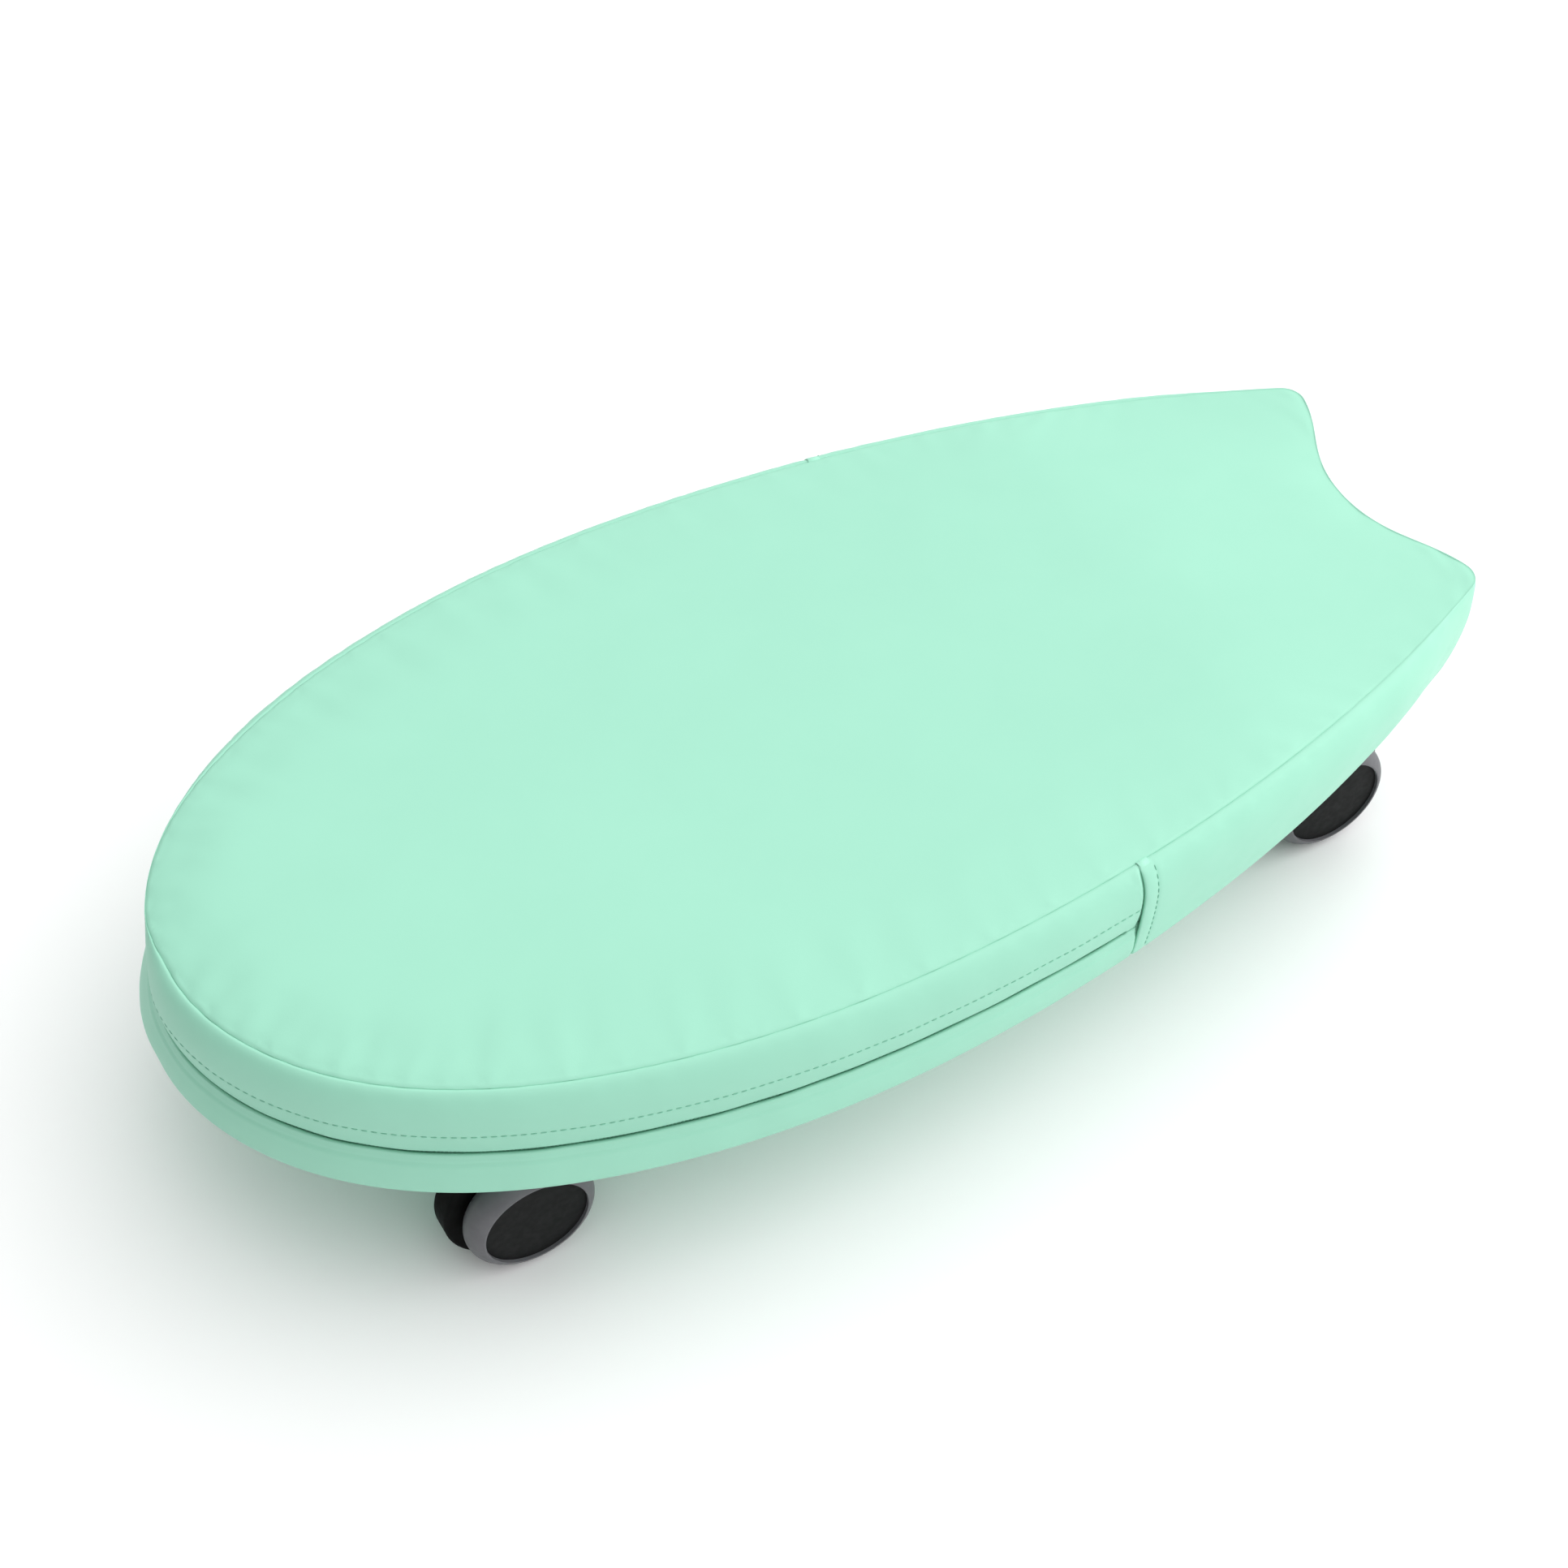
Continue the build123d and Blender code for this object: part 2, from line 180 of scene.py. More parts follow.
rim, rim_length = seam_plan()
rim_run = np.arange(len(rim)) * rim_length / len(rim)
rim_along = np.roll(rim, -2, 0) - np.roll(rim, 2, 0)
rim_along /= np.linalg.norm(rim_along, axis=1)[:, None]
rim_out = np.stack([rim_along[:, 1], -rim_along[:, 0]], -1)
near_side = rim[:, 1] < 0


def ease(value):
    t = np.clip(value, 0, 1)
    return t * t * (3 - 2 * t)


def far_of_nose(size, rise, start, fall):
    """A pull on the far side of the nose only, which rises, and falls again from start."""
    past = np.where(near_side, 0, rim_length - rim_run)
    return size * ease(past / rise) * (1 - ease((past - start) / fall))


rim_shift = far_of_nose(nose_shift, 48, 60, 130)
foot_shift = far_of_nose(foot_nose_shift, 40, 80, 110)
rim = rim + rim_out * rim_shift[:, None]
corner_run = rim_run[np.argmax(np.where(near_side, rim[:, 0], -1e9))]
to_corner = rim_run < corner_run
hem_run = float(np.interp(hem_x, rim[to_corner, 0], rim_run[to_corner]))


def round_rim(table, run):
    """A value of the rim at any distance along it from the nose, negative on the far side."""
    return np.interp(run, rim_run, table, period=rim_length)


def place(run):
    """Position and outward direction on the top seam."""
    spot = np.stack([round_rim(rim[:, k], run) for k in (0, 1)], -1)
    out = np.stack([round_rim(rim_out[:, k], run) for k in (0, 1)], -1)
    return spot, out / np.linalg.norm(out, axis=-1)[..., None]


def from_nose(run):
    """Distance along the rim from the nose, the shorter way round."""
    wrapped = np.mod(run, rim_length)
    return np.minimum(wrapped, rim_length - wrapped)


def fullness(run):
    """Share of the side's bulge, less at the tail corners and where the seam is pulled out."""
    away = corner_run - from_nose(run)
    side = tip_bulge + (1 - tip_bulge) * ease(away / bulge_fade)
    notch = tip_bulge + (notch_bulge - tip_bulge) * ease(-away / notch_fade)
    pulled = shifted_flatness * round_rim(rim_shift, run) / nose_shift
    return np.where(away > 0, side, notch) * (1 - pulled)


def foot(run):
    """How far outside the top seam the bottom edge lies."""
    share = np.clip((place(run)[0][..., 0] - nose_x) / board_length, 0, 1)
    deck_room = corner_room * np.exp(-(((corner_run - from_nose(run)) / corner_room_reach) ** 2))
    pulled = round_rim(foot_shift - rim_shift, run)
    return foot_nose - foot_change * share**foot_power + deck_room + pulled


def roll_at_foot(run):
    """Radius of the bottom edge, smaller at the tail corners."""
    away = np.abs(corner_run - from_nose(run))
    return foot_roll * (0.45 + 0.55 * ease(away / 60))


def ripple(run, drop, size, length, seed):
    """Slight unevenness of the cloth, which its seed fixes."""
    draws = np.random.default_rng(seed)
    total = np.zeros(np.broadcast(run, drop).shape)
    for k in range(7):
        wave = length * draws.uniform(0.6, 1.9)
        turn = 2 * math.pi * (run / wave + draws.uniform())
        total = total + np.sin(turn + drop * draws.uniform(-0.1, 0.1))
    return size * total / math.sqrt(7)


def near_seam(drop):
    """Share of the puckers along the top seam, which are strongest just below it."""
    return np.exp(-((drop - 3) / 2.5) ** 2)


def rise_to_bulge(drop):
    """Share of the bulge reached at a drop, along a quarter of an ellipse."""
    return np.sqrt(np.clip(1 - (1 - np.minimum(drop, bulge_drop) / bulge_drop) ** 2, 0, 1))


def upper_swell(run, drop):
    """Outward reach of the side from the top seam down to the zip."""
    rising = rise_to_bulge(drop)
    falling = lower_taper * np.maximum(drop - bulge_drop, 0) ** 2
    return fullness(run) * (side_bulge * rising - falling)


def dent(value, centre, width, depth):
    return -depth * np.exp(-(((value - centre) / width) ** 2))


def on_side(run, drop, out):
    """Points of the side, at drops below the top seam and reaching outwards from it."""
    run, drop, out = np.broadcast_arrays(run, drop, out)
    spot, normal = place(run)
    level = spot + normal * out[..., None]
    return np.concatenate([level, (seam_z - drop)[..., None]], -1)


# ---------------- meshes ----------------

def add_object(name, points, faces, finish, body="board"):
    mesh = bpy.data.meshes.new(name)
    mesh.from_pydata([tuple(p) for p in np.asarray(points) * MM], [], [tuple(f) for f in faces])
    mesh.validate()
    mesh.materials.append(finish)
    mesh.polygons.foreach_set("use_smooth", [True] * len(mesh.polygons))
    obj = bpy.data.objects.new(name, mesh)
    bpy.context.scene.collection.objects.link(obj)
    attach(obj, body)
    return obj


def grid_faces(rows, columns):
    start = (np.arange(rows - 1)[:, None] * columns + np.arange(columns - 1)[None, :]).ravel()
    return np.stack([start, start + columns, start + columns + 1, start + 1], -1)


def thicken(obj, amount):
    solid = obj.modifiers.new("cloth_thickness", "SOLIDIFY")
    solid.thickness = amount * MM
    solid.offset = -1.0
    solid.use_even_offset = False


def add_grid(name, rows, finish, thickness):
    """A sheet through rows of points, thickened inwards unless its thickness is 0."""
    grid = np.concatenate(rows)
    faces = grid_faces(*grid.shape[:2])
    obj = add_object(name, grid.reshape(-1, 3), faces, finish)
    if thickness:
        thicken(obj, thickness)
    return obj


def distance_in(points):
    """Distance from each point to the rim."""
    found = [np.min(np.hypot(rim[:, 0] - x, rim[:, 1] - y)) for x, y in points]
    return np.array(found)


def honeycomb(pitch):
    """Even points over the whole plan."""
    xs = np.arange(rim[:, 0].min(), rim[:, 0].max(), pitch)
    ys = np.arange(rim[:, 1].min(), rim[:, 1].max(), pitch * math.sqrt(3) / 2)
    rows = [np.stack([xs + pitch / 2 * (k % 2), np.full(len(xs), y)], -1)
            for k, y in enumerate(ys)]
    return np.vstack(rows)


def inside(points):
    """Which points lie within the rim, by counting the edges to their right."""
    a = rim[::4]
    b = np.roll(a, -1, 0)
    x, y = points[:, :1], points[:, 1:]
    spans = (a[:, 1] > y) != (b[:, 1] > y)
    rise = np.where(a[:, 1] == b[:, 1], 1, b[:, 1] - a[:, 1])
    crossing = a[:, 0] + (y - a[:, 1]) / rise * (b[:, 0] - a[:, 0])
    return np.sum(spans & (x < crossing), 1) % 2 == 1


def spread_inside(pitch, margin):
    """Even points within the rim, kept clear of it by the margin."""
    points = honeycomb(pitch)
    points = points[inside(points)]
    return points[distance_in(points) > margin]


def fill(loops, inner):
    """Points and triangles that fill closed loops and pass through the inner points."""
    points = np.vstack(loops + [inner])
    edges = []
    start = 0
    for loop in loops:
        count = len(loop)
        edges += [(start + k, start + (k + 1) % count) for k in range(count)]
        start += count
    flat = [Vector((x * MM, y * MM)) for x, y in points]
    made, _, faces, _, _, _ = geometry.delaunay_2d_cdt(flat, edges, [], 1, 1e-7)
    return np.array([tuple(p) for p in made]) / MM, [tuple(f) for f in faces]


def inflate(obj, held, pressure, most):
    """Blows a sheet up as cloth held at its border, and moves no point by more than most."""
    frames = 20
    group = obj.vertex_groups.new(name="sewn_edge")
    group.add(held, 1.0, "REPLACE")
    cloth = obj.modifiers.new("cloth", "CLOTH")
    cloth.settings.quality = 5
    cloth.settings.mass = 0.3
    cloth.settings.tension_stiffness = 25
    cloth.settings.compression_stiffness = 25
    cloth.settings.bending_stiffness = 2
    cloth.settings.vertex_group_mass = "sewn_edge"
    cloth.settings.use_pressure = True
    cloth.settings.uniform_pressure_force = pressure
    cloth.settings.effector_weights.gravity = 0
    cloth.collision_settings.use_collision = False
    cloth.point_cache.frame_start = 1
    cloth.point_cache.frame_end = frames
    for k in range(1, frames + 1):
        bpy.context.scene.frame_set(k)
    blown = obj.evaluated_get(bpy.context.evaluated_depsgraph_get()).to_mesh()
    after = np.array([tuple(v.co) for v in blown.vertices])
    obj.modifiers.remove(cloth)
    before = np.array([tuple(v.co) for v in obj.data.vertices])
    moved = after - before
    size = np.linalg.norm(moved, axis=1)[:, None]
    cap = most * MM
    after = before + moved * cap * np.tanh(size / cap) / np.maximum(size, 1e-9)
    obj.data.vertices.foreach_set("co", after.ravel())
    obj.data.update()
    bpy.context.scene.frame_set(1)


# ---------------- materials ----------------

class Finish:
    """A node material with one Principled shader, and short ways to add texture to it."""

    def __init__(self, name, roughness, metallic=0.0, specular=0.5):
        self.material = bpy.data.materials.new(name)
        self.material.use_nodes = True
        self.tree = self.material.node_tree
        self.shader = self.tree.nodes["Principled BSDF"]
        self.shader.inputs["Roughness"].default_value = roughness
        self.shader.inputs["Metallic"].default_value = metallic
        self.shader.inputs["Specular IOR Level"].default_value = specular
        self.where = self.add("ShaderNodeTexCoord").outputs["Object"]
        self.bumps = None

    def add(self, kind, **settings):
        node = self.tree.nodes.new(kind)
        for key, value in settings.items():
            setattr(node, key, value)
        return node

    def join(self, source, target):
        self.tree.links.new(source, target)

    def noise(self, scale, detail=3.0, stretch=(1, 1, 1)):
        node = self.add("ShaderNodeTexNoise")
        node.inputs["Scale"].default_value = scale
        node.inputs["Detail"].default_value = detail
        where = self.where
        if stretch != (1, 1, 1):
            turned = self.add("ShaderNodeMapping")
            turned.inputs["Scale"].default_value = stretch
            self.join(where, turned.inputs["Vector"])
            where = turned.outputs["Vector"]
        self.join(where, node.inputs["Vector"])
        return node.outputs["Fac"]

    def cells(self, scale):
        node = self.add("ShaderNodeTexVoronoi")
        node.inputs["Scale"].default_value = scale
        self.join(self.where, node.inputs["Vector"])
        return node.outputs["Distance"]

    def ramp(self, source, stops):
        node = self.add("ShaderNodeValToRGB")
        marks = node.color_ramp.elements
        while len(marks) < len(stops):
            marks.new(0.5)
        for mark, (position, colour) in zip(marks, stops):
            mark.position = position
            mark.color = (*colour, 1)
        self.join(source, node.inputs["Fac"])
        return node.outputs["Color"]

    def colour(self, source, low, high, start=0.3, end=0.7):
        mixed = self.ramp(source, [(start, low), (end, high)])
        self.join(mixed, self.shader.inputs["Base Color"])

    def roughness(self, source, low, high):
        node = self.add("ShaderNodeMapRange")
        node.inputs["From Min"].default_value = 0.3
        node.inputs["From Max"].default_value = 0.7
        node.inputs["To Min"].default_value = low
        node.inputs["To Max"].default_value = high
        self.join(source, node.inputs["Value"])
        self.join(node.outputs["Result"], self.shader.inputs["Roughness"])

    def bump(self, source, strength, depth):
        node = self.add("ShaderNodeBump")
        node.inputs["Strength"].default_value = strength
        node.inputs["Distance"].default_value = depth * MM
        self.join(source, node.inputs["Height"])
        if self.bumps:
            self.join(self.bumps, node.inputs["Normal"])
        self.bumps = node.outputs["Normal"]
        self.join(self.bumps, self.shader.inputs["Normal"])


def shade(colour, amount):
    return tuple(c * amount for c in colour)


def leathercloth():
    finish = Finish("leathercloth", 0.5, specular=0.42)
    mint = (0.318, 0.672, 0.512)
    finish.colour(finish.noise(14, 4), shade(mint, 0.988), shade(mint, 1.01))
    finish.roughness(finish.noise(60, 3), 0.46, 0.56)
    finish.bump(finish.noise(110, 3), 0.10, 0.25)
    finish.bump(finish.cells(1500), 0.22, 0.06)
    return finish.material


def thread():
    finish = Finish("mint_thread_painted_hole_shade", 0.7, specular=0.3)
    # The thread is darker than the cloth: partly its own colour, partly painted shade of the stitch
    # holes along the rows.
    mint = (0.2, 0.5, 0.36)
    finish.colour(finish.noise(900, 2), shade(mint, 0.9), shade(mint, 1.05))
    finish.bump(finish.noise(2500, 1, (1, 1, 3)), 0.4, 0.08)
    return finish.material


def tape_cloth():
    finish = Finish("zip_tape_weave", 0.85, specular=0.2)
    mint = (0.3, 0.66, 0.5)
    finish.colour(finish.noise(500, 2), shade(mint, 0.9), shade(mint, 1.06))
    weave = finish.add("ShaderNodeTexWave", wave_type="BANDS", bands_direction="Z")
    weave.inputs["Scale"].default_value = 420
    finish.join(finish.where, weave.inputs["Vector"])
    finish.bump(weave.outputs["Fac"], 0.5, 0.12)
    return finish.material


def foam():
    finish = Finish("open_cell_foam", 0.95, specular=0.15)
    finish.colour(finish.noise(25, 4), (0.68, 0.63, 0.5), (0.78, 0.73, 0.6))
    finish.bump(finish.cells(900), 0.7, 0.3)
    return finish.material


def plywood():
    """Face grain where the surface is level, plies where it is upright."""
    finish = Finish("birch_plywood", 0.6, specular=0.3)
    grain = finish.ramp(finish.noise(22, 6, (1, 14, 14)),
                        [(0.3, (0.55, 0.36, 0.19)), (0.7, (0.7, 0.5, 0.3))])
    layers = finish.add("ShaderNodeTexWave", wave_type="BANDS", bands_direction="Z")
    layers.inputs["Scale"].default_value = 105
    layers.inputs["Distortion"].default_value = 0.3
    finish.join(finish.where, layers.inputs["Vector"])
    plies = finish.ramp(layers.outputs["Fac"],
                        [(0.4, (0.4, 0.24, 0.12)), (0.6, (0.68, 0.48, 0.29))])
    facing = finish.add("ShaderNodeSeparateXYZ")
    finish.join(finish.add("ShaderNodeNewGeometry").outputs["Normal"], facing.inputs[0])
    steep = finish.add("ShaderNodeMath", operation="ABSOLUTE")
    finish.join(facing.outputs["Z"], steep.inputs[0])
    mix = finish.add("ShaderNodeMix", data_type="RGBA")
    finish.join(steep.outputs[0], mix.inputs["Factor"])
    finish.join(plies, mix.inputs[6])
    finish.join(grain, mix.inputs[7])
    finish.join(mix.outputs[2], finish.shader.inputs["Base Color"])
    finish.bump(finish.noise(160, 4, (1, 12, 12)), 0.3, 0.15)
    return finish.material


def metal(name, low, high, rough, scale):
    finish = Finish(name, rough, metallic=1.0)
    finish.colour(finish.noise(scale, 3), low, high)
    finish.roughness(finish.noise(scale * 3, 4), rough * 0.8, rough * 1.25)
    finish.bump(finish.noise(scale * 14, 2), 0.12, 0.05)
    return finish.material


def moulded(name, low, high, rough, grain, depth, specular=0.4):
    """Plastic or rubber with the fine grain of its mould."""
    finish = Finish(name, rough, specular=specular)
    finish.colour(finish.noise(120, 3), low, high)
    finish.roughness(finish.noise(260, 3), rough * 0.88, rough * 1.12)
    finish.bump(finish.cells(grain), 0.35, depth)
    return finish.material


cover_finish = leathercloth()
thread_finish = thread()
tape_finish = tape_cloth()
foam_finish = foam()
# Metal: name, darkest and lightest colour, roughness, scale. Moulded: name, colours, roughness,
# grain, its depth and the specular level.
finishes = {
    "cover": cover_finish,
    "foam": foam_finish,
    "plywood": plywood(),
    "zip_tape": tape_finish,
    "zinc": metal("zinc_plate", (0.5, 0.52, 0.55), (0.66, 0.67, 0.69), 0.34, 180),
    "steel": metal("bright_steel", (0.55, 0.55, 0.56), (0.68, 0.68, 0.68), 0.26, 240),
    "bronze": metal("sintered_bronze", (0.55, 0.34, 0.16), (0.72, 0.48, 0.24), 0.42, 300),
    # Hood: the same black nylon as the wheel caps, set darker and less specular as painted shade
    # for the shade it sits in under the board.
    "hood": moulded("black_nylon_painted_shade", (0.004, 0.0042, 0.0042), (0.006, 0.0062, 0.0062),
                    0.62, 1700, 0.05, 0.04),
    "wheel_core": moulded("dark_nylon", (0.026, 0.026, 0.028), (0.032, 0.032, 0.034),
                          0.55, 1500, 0.05),
    "wheel_cap": moulded("cap_nylon", (0.007, 0.0072, 0.0075), (0.009, 0.0092, 0.0095),
                         0.56, 1900, 0.04, 0.1),
    "tyre": moulded("grey_polyurethane", (0.115, 0.114, 0.124), (0.13, 0.129, 0.139),
                    0.5, 1200, 0.04),
}
for node in nodes.values():
    for holder in node.material_slots:
        if holder.material:
            holder.material = finishes[holder.material.name.split(".")[0]]


# ---------------- top panel ----------------

def crown(depth, points):
    """Rise of the top panel above its seam, by distance in from it, flatter towards the tail."""
    to_tail = ease((points[:, 0] - nose_x - board_length + 190) / 150)
    lift = crown_roll * (1 - tail_flatness * to_tail)
    return lift * (1 - np.exp(-depth / crown_reach)) - 0.6 + crown_rise * ease(depth / 190)


def nearest_run(points):
    """Distance along the rim to the place nearest each point."""
    return np.array([rim_run[np.argmin(np.hypot(*(rim - p).T))] for p in points])


def make_top_panel():
    loops = []
    for inset, pitch in [(0, 3), (0.5, 3), (1.2, 3), (2.2, 3), (3.4, 3.2), (5, 3.6), (7, 4.2),
                         (9.5, 4.8), (12.5, 5.5), (16.5, 6.5), (22, 7.5)]:
        run = np.linspace(0, rim_length, int(rim_length / pitch), endpoint=False)
        spot, out = place(run)
        ring = spot - out * inset
        if inset:
            ring = ring[distance_in(ring) > 0.985 * inset]
        loops.append(ring)
    points, faces = fill(loops[:1], np.vstack(loops[1:] + [spread_inside(8.5, 27)]))
    depth = distance_in(points)
    run = nearest_run(points)
    rise = crown(depth, points) + ripple(run, 0, *panel_ripple) * np.exp(-((depth - 3) / 4) ** 2)
    panel = add_object("top_panel", np.column_stack([points, seam_z + rise]), faces,
                       cover_finish)
    sewn = [int(k) for k in np.nonzero(depth < 2.0)[0]]
    inflate(panel, sewn, pressure=2.5, most=2.0)
    thicken(panel, panel_thickness)
    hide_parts("cover_top_panel")


# ---------------- sides ----------------

def near_gap_end(run):
    """0 along the open zip gap, 1 where the strips are sewn together in front of a hem."""
    return ease((from_nose(run) - (hem_run - gap_end)) / 1.6)


def under_hem(run, drop):
    """How far a strip has dived under the tail band."""
    return -hem_dive * ease((from_nose(run) - hem_run + 2.4) / 2.6) * (0.25 + 0.75 * ease(drop / 5))


# Places along a strip, closer together by its ends.
strip_ends = hem_run + 12
strip_fine = 0.8
strip_run = np.concatenate([
    np.arange(-strip_ends, -hem_run + 14, strip_fine),
    np.linspace(-hem_run + 14, hem_run - 14, 330),
    np.arange(hem_run - 14 + strip_fine, strip_ends, strip_fine),
])


def make_upper_strip():
    run = strip_run[None, :]
    lip = gap_top + gap_close * near_gap_end(run)
    grid = [on_side(run, drop, out) for drop, out in seam_tuck]
    for drop in np.concatenate([[0.05, 0.3, 0.8, 1.6, 2.8, 4.4], np.linspace(6.4, 24, 10),
                                np.linspace(25, 29, 9), np.linspace(30.5, 41.5, 7)]):
        out = upper_swell(run, drop) + dent(drop, lap_drop, 1.0, lap_dent)
        out = out + ripple(run, drop, *upper_ripple) * ease(drop / 6)
        out = out + ripple(run, 0, *upper_seam_ripple) * near_seam(drop)
        grid.append(on_side(run, drop, out + under_hem(run, drop)))
    fold = upper_swell(run, gap_top - 1.0) + ripple(run, gap_top, *upper_ripple)
    fold = fold + under_hem(run, gap_top)
    for back, reach in [(0.75, 0.0), (0.3, -0.25), (0.0, -0.8), (0.1, -1.4), (0.4, -2.4)]:
        grid.append(on_side(run, lip - back, fold + reach))
    strip = add_grid("upper_strip", grid, cover_finish, strip_thickness)
    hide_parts("cover_upper_strip")


def lower_reach(run, drop):
    """Outward reach of the lower strip, from the zip's lower lip to the bottom edge."""
    share = (drop - gap_bottom) / (pad_height - gap_bottom)
    top = upper_swell(run, gap_bottom) + lower_step
    swell = lower_swell * np.sin(math.pi * np.clip(share, 0, 1))
    return top * (1 - share) + foot(run) * share + swell


def rolled_under(run, reach):
    """Rows that round the bottom edge and run in under the cushion."""
    radius = roll_at_foot(run)
    rows = []
    for angle in np.linspace(0, 90, 7)[1:]:
        turn = math.radians(angle)
        out = reach - radius * (1 - math.cos(turn))
        rows.append(on_side(run, pad_height - radius * (1 - math.sin(turn)), out))
    rows.append(on_side(run, pad_height - 0.2, reach - radius - 1.0))
    return rows


def make_lower_strip():
    run = strip_run[None, :]
    lip = gap_bottom - gap_close * near_gap_end(run)
    edge = lower_reach(run, gap_bottom + 1.2) + ripple(run, gap_bottom, *lower_ripple)
    edge = edge + under_hem(run, gap_bottom)
    grid = [on_side(run, lip + back, edge + reach)
            for back, reach in [(0.5, -2.6), (0.12, -1.5), (0.0, -0.8), (0.25, -0.25), (0.7, 0.0)]]
    knee = pad_height - roll_at_foot(run)
    for share in np.concatenate([np.linspace(0.05, 0.42, 12), np.linspace(0.48, 1, 8)]):
        drop = gap_bottom + 0.8 + (knee - gap_bottom - 0.8) * share
        out = lower_reach(run, drop) + dent(drop, ridge_drop, 0.9, 0.3)
        out = out + 0.25 * np.exp(-((drop - ridge_drop - 2.2) / 1.4) ** 2)
        out = out + ripple(run, drop, *lower_ripple)
        grid.append(on_side(run, drop, out + under_hem(run, drop)))
    reach = lower_reach(run, knee) + under_hem(run, knee)
    grid += rolled_under(run, reach)
    strip = add_grid("lower_strip", grid, cover_finish, strip_thickness)
    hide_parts("cover_lower_strip")


def band_reach(run, drop):
    """Outward reach of the one-piece side round the tail."""
    widest = side_bulge * fullness(run)
    share = np.clip((drop - bulge_drop) / (pad_height - bulge_drop), 0, 1)
    return widest * rise_to_bulge(drop) + (foot(run) - widest) * share**1.7


def make_tail_band():
    # Run behind the hem's folded edge, and reach: the fold, then the hem up to past its stitches.
    edge = [(7.0, -2.4), (2.0, -2.3), (0.5, -2.0), (0.05, -1.5), (0.0, -1.0), (0.12, -0.5),
            (0.5, -0.15)]
    behind = [(1.2, 0.0), (2.4, 0.1), (4.0, 0.15), (5.6, 0.1), (7.0, 0.0), (7.9, -0.15),
              (8.7, -0.35), (9.5, -0.12), (10.6, 0.05), (12.5, 0.0)]
    front = np.array(edge + behind)
    middle = np.linspace(hem_run + 15, rim_length - hem_run - 15, 330)
    run = np.concatenate([hem_run + front[:, 0], middle,
                          rim_length - hem_run - front[::-1, 0]])[None, :]
    over = np.concatenate([front[:, 1], np.zeros(len(middle)), front[::-1, 1]])[None, :]
    over = over + hem_lift * ease(1 - (from_nose(run) - hem_run) / 60)
    fold = np.zeros(len(edge))
    away = np.concatenate([fold, np.ones(len(middle) + 2 * len(behind)), fold])
    knee = pad_height - roll_at_foot(run)
    grid = [on_side(run, drop, out) for drop, out in seam_tuck]
    for share in np.concatenate([[0.0007, 0.004, 0.011, 0.022, 0.04, 0.06],
                                 np.linspace(0.085, 1, 26)]):
        drop = knee * share
        fade = 0.3 + 0.7 * ease(drop / 4)
        out = band_reach(run, drop) + over * fade
        out = out + ripple(run, drop, *band_ripple) * ease(drop / 6) * away
        out = out + ripple(run, 0, *band_seam_ripple) * near_seam(drop) * away
        grid.append(on_side(run, drop, out))
    grid += rolled_under(run, band_reach(run, knee) + over)
    band = add_grid("tail_band", grid, cover_finish, strip_thickness)
    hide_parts("cover_tail_band")


def bottom_outline(run):
    """Where the bottom panel is sewn to the sides."""
    spot, out = place(run)
    return spot + out * (foot(run) - roll_at_foot(run) - 0.6)[..., None]


def make_bottom_panel():
    run = np.linspace(0, rim_length, int(rim_length / 4), endpoint=False)
    edge = bottom_outline(run)
    out = place(run)[1]
    inner = [edge - out * inset for inset in (1.2, 3.0, 6.0)]
    inner = [ring[distance_in(ring) > 10] for ring in inner]
    turn = np.linspace(0, 2 * math.pi, 24, endpoint=False)
    circle = np.stack([np.cos(turn), np.sin(turn)], -1)
    holes = []
    for name in ("front_left", "front_right", "rear_left", "rear_right"):
        low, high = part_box("stem_" + name)
        centre = np.array([(low.x + high.x) / 2, (low.y + high.y) / 2]) / MM
        holes.append(centre + stem_hole_radius * circle)
        inner += [centre + r * circle for r in (7.5, 9.5, 12, 16)]
    points, faces = fill([edge] + holes, np.vstack(inner + [spread_inside(11, 22)]))
    centres = [h.mean(0) for h in holes]
    near = np.min([np.hypot(*(points - c).T) for c in centres], 0)
    kept = []
    for face in faces:
        middle_point = points[list(face)].mean(0)
        if min(math.dist(middle_point, c) for c in centres) > stem_hole_radius - 0.1:
            kept.append(face[::-1])
    depth = distance_in(points)
    clear = 1 - np.exp(-((near / stem_flat_reach) ** 2))
    sag = 0.35 * ease((depth - 8) / 25) * clear
    sag = sag + ripple(points[:, 0], points[:, 1], *bottom_ripple) * clear
    panel = add_object("bottom_panel", np.column_stack([points, bottom_z + 0.45 - sag]), kept,
                       cover_finish)
    thicken(panel, bottom_thickness)
    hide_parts("cover_bottom_panel")


# ---------------- zip, foam and thread ----------------

